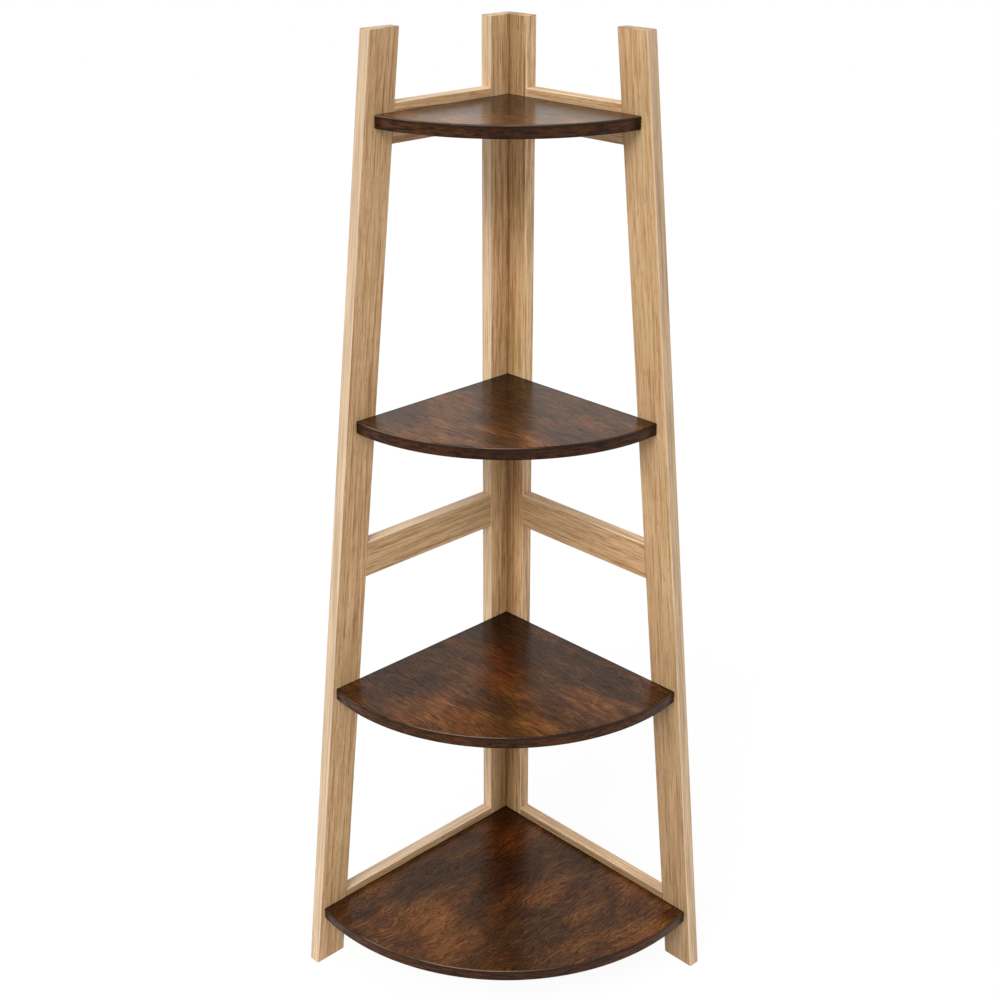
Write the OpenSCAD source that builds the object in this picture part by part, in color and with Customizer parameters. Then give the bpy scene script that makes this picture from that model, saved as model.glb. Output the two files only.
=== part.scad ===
// Free-standing corner shelf: two flat side frames of oak boards meet at a right angle
// in the room's corner and carry four round-fronted shelves that grow towards the floor.
// Millimetres, +Z up. The left wall is on the -X side and the right wall on the +Y side.
// The origin is on the floor, at the middle of the footprint.

/* [Side frames] */
// Height of the frames above the floor
height = 1400; // [1380:5:1500]
// Distance from the room's corner to a leg's front edge at the floor
foot_reach = 432; // [400:2:480]
// The same distance at the top of the leg, which leans
top_reach = 270; // [250:2:330]
// Thickness of every frame board
board_t = 19; // [18:1:24]
// Width of a front leg, square to its length
leg_w = 52; // [46:1:60]
// Distance from the room's corner to a back post's front edge
post_w = 54; // [50:1:64]
// Width of a rail
rail_w = 54; // [46:1:64]
// Height of the middle rail's upper edge
middle_rail_z = 688; // [600:2:760]
// Size of the small chamfer along each board's edges
ease = 1.2; // [0.5:0.1:2]

/* [Shelves] */
// Thickness of a shelf
shelf_t = 18; // [16:1:25]
// How far the top shelf's upper face lies below the tops of the frames
top_shelf_drop = 108; // [70:2:150]
// Height of the upper shelf's upper face
upper_shelf_z = 878; // [820:2:960]
// Height of the lower shelf's upper face
lower_shelf_z = 472; // [420:2:540]
// Height of the bottom shelf's upper face
bottom_shelf_z = 96; // [92:2:140]
// How far the top and bottom rails stand above the shelf in front of them
lip = 12; // [4:1:14]
// How far the top shelf's tips stop short of the legs' front edges
top_tip_back = 16; // [4:1:18]
// How far the upper shelf's tips stop short of the legs' front edges
upper_tip_back = 15; // [4:1:18]
// How far the lower shelf's tips stop short of the legs' front edges
lower_tip_back = 6; // [4:1:18]
// How far the bottom shelf's tips stop short of the legs' front edges
bottom_tip_back = 7; // [4:1:18]
// How far the top shelf's front curve bows out from the line between its tips
top_bow = 70; // [50:1:90]
// How far the upper shelf's front curve bows out from the line between its tips
upper_bow = 96; // [70:1:110]
// How far the lower shelf's front curve bows out from the line between its tips
lower_bow = 129; // [90:1:140]
// How far the bottom shelf's front curve bows out from the line between its tips
bottom_bow = 139; // [100:1:150]
// Radius of the rounded upper and lower edges of a shelf's front
nose_r = 2.5; // [1:0.5:5]

/* [Bolts and barrel nuts] */
// Diameter of a bolt's shank
bolt_d = 6; // [5:1:6]
// Diameter of a bolt's low head
head_d = 11; // [9:0.5:12]
// Height of a bolt's head
head_h = 3.5; // [3:0.5:4]
// Width across the flats of the socket in the head
socket_w = 4; // [3:0.5:5]
// Depth of the socket
socket_depth = 2.2; // [1.5:0.1:2.5]
// How far a head lies below the frame's outer face, so that the frame sits flat on a wall
head_below = 1; // [0.5:0.5:2]
// Diameter of a barrel nut
nut_d = 10; // [9:0.5:11]
// Length of a barrel nut
nut_len = 12; // [10:0.5:13]
// Distance from the edge that a bolt enters to the middle of its barrel nut
nut_inset = 10; // [9:0.5:11]
// How far a bolt's end stands past its barrel nut
bolt_past_nut = 0.5; // [0.5:0.5:2]
// Distance from a back post's front edge to its shelf bolts
post_bolt_in = 10; // [8:0.5:12]
// Distance from a rail's edge to the corner bolt above or below it
corner_bolt_gap = 60; // [30:5:120]

/* [Dowels] */
// Diameter of a dowel
dowel_d = 8; // [6:1:8]
// Length of a dowel, half of it in each board
dowel_len = 40; // [30:2:44]
// Distance between the two dowels at one end of a rail
dowel_gap = 34; // [30:1:36]
// Chamfer at a dowel's ends
dowel_ease = 1; // [0.5:0.1:1.5]

/* [Clearances] */
// Space round a bolt's shank in its hole
bolt_clear = 0.3; // [0.2:0.1:0.4]
// Space round a bolt's head in its counterbore
head_clear = 0.5; // [0.3:0.1:0.6]
// Space round a barrel nut in its hole, and round a shank in the nut
nut_clear = 0.15; // [0.1:0.05:0.2]
// Space round a glued dowel
dowel_clear = 0.05; // [0.04:0.01:0.1]
// Space left at the blind end of a hole
end_clear = 0.5; // [0.3:0.1:1]

/* [Hidden] */

// Facets of small round holes and parts, of a shelf's long front curve and of its rounded edges
$fn = 64;
front_fn = 240;
nose_fn = 32;
// How far a cutting shape runs past the face that it cuts
past = 1;
// Width and depth of the slot that turns a barrel nut in its hole
slot_w = 1.2;
slot_depth = 1;

oak = "#cda877";
rustic_brown = "#4a2a18";
steel = "#b9bcc0";
beech = "#e0c79c";

// The leg's lean from the vertical, and its width along the floor
lean = atan((foot_reach - top_reach) / height);
leg_run = leg_w / cos(lean);
function leg_front(z) = foot_reach - z * tan(lean);
function leg_back(z) = leg_front(z) - leg_run;

// The height of the top shelf's upper face and of each rail's upper edge
top_shelf_z = height - top_shelf_drop;
top_rail_z = top_shelf_z + lip;
bottom_rail_z = bottom_shelf_z + lip;
rail_tops = [top_rail_z, middle_rail_z, bottom_rail_z];

// Each shelf is its upper face's height, its tips' step back and its front's bow
top_level = [top_shelf_z, top_tip_back, top_bow];
upper_level = [upper_shelf_z, upper_tip_back, upper_bow];
lower_level = [lower_shelf_z, lower_tip_back, lower_bow];
bottom_level = [bottom_shelf_z, bottom_tip_back, bottom_bow];
levels = [top_level, upper_level, lower_level, bottom_level];

// A shelf's side, from the frames' inner corner to a tip
function shelf_side(level) = leg_front(level[0]) - level[1] - board_t;
// The front is an arc through both tips: half the line between them, the arc's radius,
// and the distance of the arc's centre from both inner faces
function half_chord(level) = shelf_side(level) / sqrt(2);
function front_r(level) = (pow(half_chord(level), 2) + pow(level[2], 2)) / (2 * level[2]);
function front_centre(level) = (half_chord(level) + level[2] - front_r(level)) / sqrt(2);

// A bolt's seat below the frame's outer face, its length under the head and its deepest point
head_seat = head_below + head_h;
bolt_len = board_t - head_seat + nut_inset + nut_d / 2 + bolt_past_nut;
bolt_end = head_seat + bolt_len;
// Where the shelf bolts cross a post and a leg, as [distance from the room's corner, height]
function bolt_z(level) = level[0] - shelf_t / 2;
function tip_from_corner(level) = board_t + shelf_side(level);
function leg_bolt_x(level) = (leg_back(bolt_z(level)) + tip_from_corner(level)) / 2;
function post_bolt_at(level) = [post_w - post_bolt_in, bolt_z(level)];
function leg_bolt_at(level) = [leg_bolt_x(level), bolt_z(level)];
function shelf_bolts_at(level) = [post_bolt_at(level), leg_bolt_at(level)];
post_bolts_at = [for (level = levels) post_bolt_at(level)];
leg_bolts_at = [for (level = levels) leg_bolt_at(level)];
// The corner bolts run through the left post into the middle of the right post's edge
corner_bolts_at = [
    [board_t / 2, top_rail_z - rail_w - corner_bolt_gap],
    [board_t / 2, middle_rail_z + corner_bolt_gap],
    [board_t / 2, bottom_rail_z + corner_bolt_gap]
];

// Moves from the room's corner, where the pieces are drawn, to the part's own origin
module placed() {
    translate([-foot_reach / 2, foot_reach / 2, 0])
        children();
}

// Pieces are drawn on the right wall, which runs along +X, and mirrored for the left wall
module on_side(side) {
    if (side == "left")
        mirror([1, 1, 0]) children();
    else
        children();
}

// A board with chamfered edges, standing on end, with its width along X against the wall
module board(width, length) {
    linear_extrude(length)
        polygon([
            [ease, -board_t], [width - ease, -board_t],
            [width, -board_t + ease], [width, -ease],
            [width - ease, 0], [ease, 0],
            [0, -ease], [0, -board_t + ease]
        ]);
}

// Puts what is drawn along +Z from the wall's face inwards at each [distance, height]
module through_wall_face(spots) {
    for (spot = spots)
        translate([spot[0], 0, spot[1]])
            rotate([90, 0, 0])
                children();
}

// A low-headed bolt, and the stepped hole that it passes through
module bolt() {
    difference() {
        translate([0, 0, head_below])
            cylinder(d = head_d, h = head_h);
        translate([0, 0, head_below - past])
            cylinder(d = socket_w / cos(30), h = socket_depth + past, $fn = 6);
    }
    translate([0, 0, head_seat])
        cylinder(d = bolt_d, h = bolt_len);
}

module bolt_hole() {
    translate([0, 0, -past])
        cylinder(d = head_d + 2 * head_clear, h = head_seat + past);
    cylinder(d = bolt_d + 2 * bolt_clear, h = bolt_end + end_clear);
}

// A barrel nut across the bolt, and its hole, open on the side of -Y at the given half thickness
module at_nut() {
    translate([0, 0, board_t + nut_inset])
        rotate([90, 0, 0])
            children();
}

module barrel_nut() {
    at_nut()
        difference() {
            cylinder(d = nut_d, h = nut_len, center = true);
            rotate([90, 0, 0])
                cylinder(d = bolt_d + 2 * nut_clear, h = nut_d + 2 * past, center = true);
            translate([-nut_d, -slot_w / 2, nut_len / 2 - slot_depth])
                cube([2 * nut_d, slot_w, slot_depth + past]);
        }
}

module nut_hole(half_thickness) {
    at_nut()
        translate([0, 0, -nut_len / 2 - end_clear])
            cylinder(d = nut_d + 2 * nut_clear, h = nut_len / 2 + end_clear + half_thickness + past);
}

// The corner bolts' nuts lie across the right post, open towards the right wall
module corner_nut_turn() {
    rotate([0, 0, -90])
        children();
}

// A dowel along X about the joint, and its hole
module dowel_body(diameter, length, chamfer) {
    rotate([0, 90, 0]) {
        cylinder(d = diameter, h = length - 2 * chamfer, center = true);
        for (end = [0, 1])
            mirror([0, 0, end])
                translate([0, 0, length / 2 - chamfer])
                    cylinder(d1 = diameter, d2 = diameter - 2 * chamfer, h = chamfer);
    }
}

module dowel() {
    dowel_body(dowel_d, dowel_len, dowel_ease);
}

module dowel_hole() {
    rotate([0, 90, 0])
        cylinder(d = dowel_d + 2 * dowel_clear, h = dowel_len + 2 * end_clear, center = true);
}

// Puts a dowel or its hole at both ends of the rail whose upper edge is at the given height
module at_post_end(rail_top) {
    for (step = [-1, 1])
        translate([post_w, -board_t / 2, rail_top - rail_w / 2 + step * dowel_gap / 2])
            children();
}

module at_leg_end(rail_top) {
    for (step = [-1, 1]) {
        z = rail_top - rail_w / 2 + step * dowel_gap / 2;
        translate([leg_back(z), -board_t / 2, z])
            children();
    }
}

module back_post(side, first_x) {
    color(oak) placed() on_side(side)
        difference() {
            translate([first_x, 0, 0])
                board(post_w - first_x, height);
            through_wall_face(post_bolts_at) bolt_hole();
            for (rail_top = rail_tops)
                at_post_end(rail_top) dowel_hole();
            children();
        }
}

// The left post laps the edge of the right post, so it runs right into the corner
module left_back_post() {
    back_post("left", 0)
        through_wall_face(corner_bolts_at) bolt_hole();
}

module right_back_post() {
    back_post("right", board_t)
        on_side("left") {
            through_wall_face(corner_bolts_at) {
                bolt_hole();
                corner_nut_turn() nut_hole(board_t / 2);
            }
        }
}

module front_leg(side) {
    long = height / cos(lean) + 2 * leg_w;
    color(oak) placed() on_side(side)
        difference() {
            intersection() {
                translate([foot_reach, 0, 0])
                    rotate([0, -lean, 0])
                        translate([-leg_w, 0, -leg_w])
                            board(leg_w, long);
                translate([0, -board_t - past, 0])
                    cube([foot_reach + past, board_t + 2 * past, height]);
            }
            through_wall_face(leg_bolts_at) bolt_hole();
            for (rail_top = rail_tops)
                at_leg_end(rail_top) dowel_hole();
        }
}

module left_front_leg() {
    front_leg("left");
}

module right_front_leg() {
    front_leg("right");
}

// A rail between a post's front edge and a leg's leaning back edge, flush with both
module rail(side, rail_top) {
    low = rail_top - rail_w;
    color(oak) placed() on_side(side)
        difference() {
            intersection() {
                translate([0, 0, rail_top])
                    rotate([0, 90, 0])
                        board(rail_w, foot_reach);
                rotate([90, 0, 0])
                    linear_extrude(board_t)
                        polygon([
                            [post_w, low], [leg_back(low), low],
                            [leg_back(rail_top), rail_top], [post_w, rail_top]
                        ]);
            }
            at_post_end(rail_top) dowel_hole();
            at_leg_end(rail_top) dowel_hole();
        }
}

module left_top_rail() {
    rail("left", top_rail_z);
}

module left_middle_rail() {
    rail("left", middle_rail_z);
}

module left_bottom_rail() {
    rail("left", bottom_rail_z);
}

module right_top_rail() {
    rail("right", top_rail_z);
}

module right_middle_rail() {
    rail("right", middle_rail_z);
}

module right_bottom_rail() {
    rail("right", bottom_rail_z);
}

module rail_dowels(side, rail_top) {
    color(beech) placed() on_side(side) {
        at_post_end(rail_top) dowel();
        at_leg_end(rail_top) dowel();
    }
}

module left_top_rail_dowels() {
    rail_dowels("left", top_rail_z);
}

module left_middle_rail_dowels() {
    rail_dowels("left", middle_rail_z);
}

module left_bottom_rail_dowels() {
    rail_dowels("left", bottom_rail_z);
}

module right_top_rail_dowels() {
    rail_dowels("right", top_rail_z);
}

module right_middle_rail_dowels() {
    rail_dowels("right", middle_rail_z);
}

module right_bottom_rail_dowels() {
    rail_dowels("right", bottom_rail_z);
}

// Half of the cross-section of a disc whose rim is rounded above and below
module rim_profile(r) {
    square([r - nose_r, shelf_t]);
    translate([0, nose_r])
        square([r, shelf_t - 2 * nose_r]);
    for (z = [nose_r, shelf_t - nose_r])
        translate([r - nose_r, z])
            circle(r = nose_r, $fn = nose_fn);
}

// A shelf is the part of such a disc that lies inside the frames' corner
module shelf(level) {
    c = front_centre(level);
    color(rustic_brown) placed()
        difference() {
            translate([board_t, -board_t, level[0] - shelf_t])
                intersection() {
                    translate([c, -c, 0])
                        rotate_extrude($fn = front_fn)
                            rim_profile(front_r(level));
                    translate([0, -foot_reach, 0])
                        cube([foot_reach, foot_reach, shelf_t]);
                }
            for (side = ["left", "right"])
                on_side(side)
                    through_wall_face(shelf_bolts_at(level)) {
                        bolt_hole();
                        nut_hole(shelf_t / 2);
                    }
        }
}

module top_shelf() {
    shelf(top_level);
}

module upper_shelf() {
    shelf(upper_level);
}

module lower_shelf() {
    shelf(lower_level);
}

module bottom_shelf() {
    shelf(bottom_level);
}

// Two bolts and two barrel nuts on each side hold a shelf: one at the post, one at the leg
module shelf_bolts(level) {
    color(steel) placed()
        for (side = ["left", "right"])
            on_side(side)
                through_wall_face(shelf_bolts_at(level)) bolt();
}

module shelf_nuts(level) {
    color(steel) placed()
        for (side = ["left", "right"])
            on_side(side)
                through_wall_face(shelf_bolts_at(level)) barrel_nut();
}

module top_shelf_bolts() {
    shelf_bolts(top_level);
}

module upper_shelf_bolts() {
    shelf_bolts(upper_level);
}

module lower_shelf_bolts() {
    shelf_bolts(lower_level);
}

module bottom_shelf_bolts() {
    shelf_bolts(bottom_level);
}

module top_shelf_nuts() {
    shelf_nuts(top_level);
}

module upper_shelf_nuts() {
    shelf_nuts(upper_level);
}

module lower_shelf_nuts() {
    shelf_nuts(lower_level);
}

module bottom_shelf_nuts() {
    shelf_nuts(bottom_level);
}

module corner_bolts() {
    color(steel) placed() on_side("left")
        through_wall_face(corner_bolts_at) bolt();
}

module corner_nuts() {
    color(steel) placed() on_side("left")
        through_wall_face(corner_bolts_at)
            corner_nut_turn() barrel_nut();
}

left_back_post();
right_back_post();
left_front_leg();
right_front_leg();
left_top_rail();
left_middle_rail();
left_bottom_rail();
right_top_rail();
right_middle_rail();
right_bottom_rail();
top_shelf();
upper_shelf();
lower_shelf();
bottom_shelf();
left_top_rail_dowels();
left_middle_rail_dowels();
left_bottom_rail_dowels();
right_top_rail_dowels();
right_middle_rail_dowels();
right_bottom_rail_dowels();
top_shelf_bolts();
upper_shelf_bolts();
lower_shelf_bolts();
bottom_shelf_bolts();
top_shelf_nuts();
upper_shelf_nuts();
lower_shelf_nuts();
bottom_shelf_nuts();
corner_bolts();
corner_nuts();
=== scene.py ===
import math

import bpy
import numpy as np
from mathutils import Matrix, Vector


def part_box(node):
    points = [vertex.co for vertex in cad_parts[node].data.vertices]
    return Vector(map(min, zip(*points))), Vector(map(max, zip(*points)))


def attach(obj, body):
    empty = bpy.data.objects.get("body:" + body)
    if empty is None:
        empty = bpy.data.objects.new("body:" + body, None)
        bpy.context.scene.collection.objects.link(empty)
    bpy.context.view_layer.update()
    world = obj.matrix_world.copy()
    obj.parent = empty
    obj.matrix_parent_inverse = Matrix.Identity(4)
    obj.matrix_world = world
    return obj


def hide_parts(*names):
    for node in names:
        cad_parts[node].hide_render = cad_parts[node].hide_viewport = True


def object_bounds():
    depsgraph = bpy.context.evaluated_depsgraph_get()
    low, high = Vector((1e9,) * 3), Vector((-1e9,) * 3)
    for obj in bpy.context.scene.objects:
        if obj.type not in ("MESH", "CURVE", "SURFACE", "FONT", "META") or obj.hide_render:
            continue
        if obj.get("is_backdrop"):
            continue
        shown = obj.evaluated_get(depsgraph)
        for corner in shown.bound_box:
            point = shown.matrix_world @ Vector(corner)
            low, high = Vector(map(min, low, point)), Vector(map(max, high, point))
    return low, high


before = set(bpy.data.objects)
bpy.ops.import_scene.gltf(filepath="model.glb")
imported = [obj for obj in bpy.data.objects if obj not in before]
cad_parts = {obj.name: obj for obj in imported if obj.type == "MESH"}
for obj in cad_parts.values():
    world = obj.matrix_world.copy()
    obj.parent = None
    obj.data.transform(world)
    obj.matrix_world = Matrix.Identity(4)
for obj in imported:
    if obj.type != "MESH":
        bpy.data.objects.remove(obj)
cad_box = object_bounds()

# A corner shelf: two side frames of light oak boards carry four rustic brown shelves.
# Metres, +Z up. Places along a wall are measured from the room's corner, and depths from the
# wall's face.

# Sizes that the frame gives
CORNER_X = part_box("left_back_post")[0].x
CORNER_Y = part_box("right_back_post")[1].y
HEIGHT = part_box("left_back_post")[1].z
BOARD_T = CORNER_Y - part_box("right_top_rail")[0].y
POST_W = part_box("right_back_post")[1].x - CORNER_X
FOOT_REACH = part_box("right_front_leg")[1].x - CORNER_X
SHELF_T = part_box("top_shelf")[1].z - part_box("top_shelf")[0].z
RAILS = ("top_rail", "middle_rail", "bottom_rail")
SIDES = ("left", "right")


def rail_heights(rail):
    """The heights of a rail's lower and upper edges."""
    low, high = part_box("right_" + rail)
    return low.z, high.z


def rail_reach(rail):
    """How far from the corner a rail's lower edge meets the leg."""
    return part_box("right_" + rail)[1].x - CORNER_X


# The leg's lean, as metres back for each metre up, from where two rails meet it
LEAN = (rail_reach("bottom_rail") - rail_reach("top_rail")) / (
    rail_heights("top_rail")[0] - rail_heights("bottom_rail")[0]
)
LEG_RUN = FOOT_REACH - rail_reach("bottom_rail") - LEAN * rail_heights("bottom_rail")[0]
LEAN_COS = 1 / math.hypot(1, LEAN)

# How far each shelf's tips stop short of the legs' fronts, and how far its front bows out from the
# line between the tips; the wall along which its grain runs, and how curled and how fine the grain
# is; how much less rough it is; how light its front is, as painted light, and the level of painted
# light and shade in its inner corner. Its warm and its dark spots are places to the right of the
# middle, distances from the corner and radii.
SHELVES = {
    "top_shelf": {
        "tip_back": 0.016, "bow": 0.070, "grain": "right", "curl": 0.3, "fineness": 1.0,
        "gloss": 0.03, "front": 0.92, "corner": 0.30,
        "warm": ((-0.060, 0.205, 0.040), (0.055, 0.205, 0.035),
                 (-0.090, 0.225, 0.030), (0.080, 0.225, 0.030)),
        "dark": ((-0.070, 0.118, 0.055), (0.080, 0.130, 0.035),
                 (0.030, 0.105, 0.035), (0.0, 0.080, 0.040)),
    },
    "upper_shelf": {
        "tip_back": 0.015, "bow": 0.096, "grain": "right", "curl": 0.35, "fineness": 1.1,
        "gloss": 0.0, "front": 0.80, "corner": 0.12,
        "warm": ((-0.110, 0.262, 0.040), (-0.072, 0.115, 0.040),
                 (-0.070, 0.205, 0.040), (0.048, 0.300, 0.035)),
        "dark": ((0.003, 0.200, 0.042), (-0.015, 0.290, 0.040),
                 (0.016, 0.130, 0.036), (0.060, 0.245, 0.035)),
    },
    "lower_shelf": {
        "tip_back": 0.006, "bow": 0.129, "grain": "right", "curl": 0.45, "fineness": 1.1,
        "gloss": 0.0, "front": 1.24, "corner": 0.16,
        "warm": ((-0.058, 0.345, 0.055), (-0.140, 0.310, 0.040),
                 (0.045, 0.365, 0.045), (0.132, 0.272, 0.042)),
        "dark": ((-0.030, 0.287, 0.036), (-0.150, 0.205, 0.050),
                 (0.008, 0.105, 0.050), (-0.080, 0.150, 0.045)),
    },
    "bottom_shelf": {
        "tip_back": 0.007, "bow": 0.139, "grain": "left", "curl": 0.72, "fineness": 1.3,
        "gloss": 0.0, "front": 1.16, "corner": 1.30,
        "warm": ((0.066, 0.222, 0.050), (-0.170, 0.300, 0.045),
                 (-0.105, 0.335, 0.038), (0.205, 0.335, 0.038)),
        "dark": ((0.055, 0.345, 0.036), (-0.030, 0.160, 0.036),
                 (0.0, 0.318, 0.042), (-0.125, 0.190, 0.050)),
    },
}

# How much warmer or colder a spot makes the brown, how many spots of each kind a shelf has, and
# how much longer a spot is along the grain than across it
SPOT_WEIGHTS = {"warm": 0.23, "dark": -0.15}
SPOT_COUNT = len(SHELVES["top_shelf"]["warm"])
SPOT_STRETCH = 1.5

# How light a shelf's front is in its middle, what both tips gain, and what the left tip gains and
# the right one loses: painted light on the front
FRONT_MIDDLE = 0.52
FRONT_TIP_GAIN = 0.75
FRONT_LEFT_GAIN = 0.10

# Rounded edges: a frame board's long ones, its ends, and a shelf's front, straight sides and tips
BOARD_ARRIS = 0.0018
END_ARRIS = 0.0012
RAIL_END_ARRIS = 0.0004
FRONT_ARRIS = 0.0022
SIDE_ARRIS = 0.0008
TIP_ROUND = 0.003
INNER_ROUND = 0.0012
ARRIS_STEPS = 6
TIP_STEPS = 12
FRONT_STEPS = 120
BOARD_STEPS = 40
SAME_PLACE = 1e-7

# Bolts, barrel nuts and dowels, with the space round them in their holes. A bolt's head sits in a
# counterbore in the wall's face, and its bore ends beyond its nut, whose own bore lies one inset
# inside the edge that the bolt enters. Cutters stand past the faces that they open.
HEAD_HOLE_R = 0.006
HEAD_SEAT = 0.0045
SHANK_HOLE_R = 0.0033
SHANK_END = 0.035
NUT_HOLE_R = 0.00515
NUT_HALF = 0.0065
NUT_INSET = 0.010
POST_BOLT_IN = 0.010
CORNER_BOLT_GAP = 0.060
DOWEL_HOLE_R = 0.00405
DOWEL_HOLE_HALF = 0.0205
DOWEL_STEP = 0.017
PAST = 0.002
HOLE_STEPS = 48


def leg_front(z):
    """How far from the corner a leg's front edge is at a height."""
    return FOOT_REACH - LEAN * z


def leg_back(z):
    """How far from the corner a leg's back edge is at a height."""
    return leg_front(z) - LEG_RUN


def to_room(side, along, depth, z):
    """A place by a wall in the row frame: along the right wall is +X, along the left wall is -Y."""
    x, y = (along, depth) if side == "right" else (depth, along)
    return np.stack(np.broadcast_arrays(CORNER_X + x, CORNER_Y - y, z), axis=-1)


def from_room(side, points):
    """The distance along the wall, the depth and the height of points in the row frame."""
    x, y = points[:, 0] - CORNER_X, CORNER_Y - points[:, 1]
    along, depth = (x, y) if side == "right" else (y, x)
    return along, depth, points[:, 2]


# Meshes

def signed_volume(points, quads, caps):
    """Six times the volume inside the faces, below zero where they point inwards."""
    triangles = [quads[:, [0, 1, 2]], quads[:, [0, 2, 3]]]
    for cap in caps:
        fan = np.stack([np.full(len(cap) - 2, cap[0]), cap[1:-1], cap[2:]], axis=1)
        triangles.append(fan)
    a, b, c = np.moveaxis(points[np.concatenate(triangles)], 1, 0)
    return np.einsum("ij,ij->", a, np.cross(b, c))


def tube_faces(points, first, rings, around):
    """Quads between neighbouring rings and one flat face at each end, turned outwards."""
    index = first + np.arange(rings * around).reshape(rings, around)
    beside = np.roll(index, -1, axis=1)
    quads = np.stack([index[:-1], beside[:-1], beside[1:], index[1:]], axis=-1).reshape(-1, 4)
    caps = [index[0][::-1], index[-1]]
    if signed_volume(points, quads, caps) < 0:
        quads = quads[:, ::-1]
        caps = [cap[::-1] for cap in caps]
    return quads.tolist() + [cap.tolist() for cap in caps]


def closed_tubes(name, tubes):
    """One object of closed tubes, each given as rings of points of shape (rings, around, 3)."""
    points = np.concatenate([tube.reshape(-1, 3) for tube in tubes])
    faces, first = [], 0
    for tube in tubes:
        rings, around = tube.shape[:2]
        faces += tube_faces(points, first, rings, around)
        first += rings * around
    mesh = bpy.data.meshes.new(name)
    mesh.from_pydata(points.tolist(), [], faces)
    piece = bpy.data.objects.new(name, mesh)
    bpy.context.scene.collection.objects.link(piece)
    return piece


def rounded_section(half_width, half_thickness, radius):
    """A rectangle with quarter-circle corners: each corner's centre plus the radius times
    (cos, sin) of an angle that makes one quarter turn at each corner in order."""
    quarter = np.linspace(0, math.pi / 2, ARRIS_STEPS + 1)
    angle = (np.arange(4)[:, None] * math.pi / 2 + quarter).ravel()
    across = np.repeat([1, -1, -1, 1], ARRIS_STEPS + 1) * (half_width - radius)
    through = np.repeat([1, 1, -1, -1], ARRIS_STEPS + 1) * (half_thickness - radius)
    return across + radius * np.cos(angle), through + radius * np.sin(angle)


def board_rings(width, place, end_arris):
    """A rounded section carried along a board. At both ends it is drawn in by a quarter circle:
    with an angle t from 0 to 90 degrees, the section is e (1 - sin t) smaller and e (1 - cos t)
    from the end. place(across, through, share, step) puts a point in the room, where share runs
    from 0 at the near end to 1 at the far one and step is a further distance inwards."""
    tilt = np.linspace(0, math.pi / 2, ARRIS_STEPS + 1)
    inset = end_arris * (1 - np.sin(tilt))
    step = end_arris * (1 - np.cos(tilt))
    between = np.linspace(0, 1, BOARD_STEPS + 1)[1:-1]
    inset = np.concatenate([inset, 0 * between, inset[::-1]])
    step = np.concatenate([step, 0 * between, step[::-1]])
    share = np.concatenate([0 * tilt, between, 1 + 0 * tilt])
    rings = []
    for drawn_in, away, end in zip(inset, step, share):
        across, through = rounded_section(
            width / 2 - drawn_in, BOARD_T / 2 - drawn_in, BOARD_ARRIS - drawn_in
        )
        rings.append(place(across, through, end, away))
    return np.stack(rings)


def turned(profile, centre, axis):
    """A profile of (radius, distance) pairs carried round an axis through the centre."""
    radius, distance = np.array(profile).T
    axis = np.array(axis, float)
    first = np.array([axis[1], axis[2], axis[0]])
    second = np.cross(axis, first)
    angle = np.linspace(0, 2 * math.pi, HOLE_STEPS, endpoint=False)
    spokes = np.cos(angle)[:, None] * first + np.sin(angle)[:, None] * second
    return centre + distance[:, None, None] * axis + radius[:, None, None] * spokes


def wall_axes(side):
    """The directions inwards from a wall and along it, away from the corner."""
    along = np.array([1.0, 0, 0]) if side == "right" else np.array([0, -1.0, 0])
    inwards = np.array([0, -1.0, 0]) if side == "right" else np.array([1.0, 0, 0])
    return inwards, along


# Holes

def bolt_hole(side, along, z):
    """A stepped hole from the wall's face inwards: the head's counterbore, then the shank's."""
    profile = [
        (HEAD_HOLE_R, -PAST), (HEAD_HOLE_R, HEAD_SEAT),
        (SHANK_HOLE_R, HEAD_SEAT), (SHANK_HOLE_R, SHANK_END),
    ]
    return turned(profile, to_room(side, along, 0.0, z), wall_axes(side)[0])


def blind_hole(radius, centre, axis, back, front):
    """A plain bore about the centre, from the distance back to the distance front."""
    return turned([(radius, -back), (radius, front)], centre, axis)


def shelf_middle(shelf):
    """The height halfway through a shelf."""
    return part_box(shelf)[1].z - SHELF_T / 2


def shelf_side(shelf):
    """The length of a shelf's straight sides, from the frames' inner corner to a tip."""
    return leg_front(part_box(shelf)[1].z) - SHELVES[shelf]["tip_back"] - BOARD_T


def post_bolts():
    """Where the shelf bolts cross a post, as distances from the corner and heights."""
    return [(POST_W - POST_BOLT_IN, shelf_middle(shelf)) for shelf in SHELVES]


def leg_bolt(shelf):
    """Halfway over the width where the shelf's side lies against the leg."""
    z = shelf_middle(shelf)
    return (leg_back(z) + BOARD_T + shelf_side(shelf)) / 2, z


def corner_bolts():
    """Where the corner bolts cross the left post, into the middle of the right post's edge."""
    heights = (
        rail_heights("top_rail")[0] - CORNER_BOLT_GAP,
        rail_heights("middle_rail")[1] + CORNER_BOLT_GAP,
        rail_heights("bottom_rail")[1] + CORNER_BOLT_GAP,
    )
    return [(BOARD_T / 2, z) for z in heights]


def dowel_holes(side, rail, ends):
    """Two bores, one over the other, where a rail meets a post, a leg or both."""
    middle = sum(rail_heights(rail)) / 2
    along_wall = wall_axes(side)[1]
    half = DOWEL_HOLE_HALF
    bores = []
    for z in (middle - DOWEL_STEP, middle + DOWEL_STEP):
        places = {"post": POST_W, "leg": leg_back(z)}
        for end in ends:
            centre = to_room(side, places[end], BOARD_T / 2, z)
            bores.append(blind_hole(DOWEL_HOLE_R, centre, along_wall, half, half))
    return bores


def shelf_nut_hole(side, along, z):
    """A bore from the shelf's underside, across the bolt."""
    centre = to_room(side, along, BOARD_T + NUT_INSET, z)
    return blind_hole(NUT_HOLE_R, centre, (0, 0, -1), NUT_HALF, SHELF_T / 2 + PAST)


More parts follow.
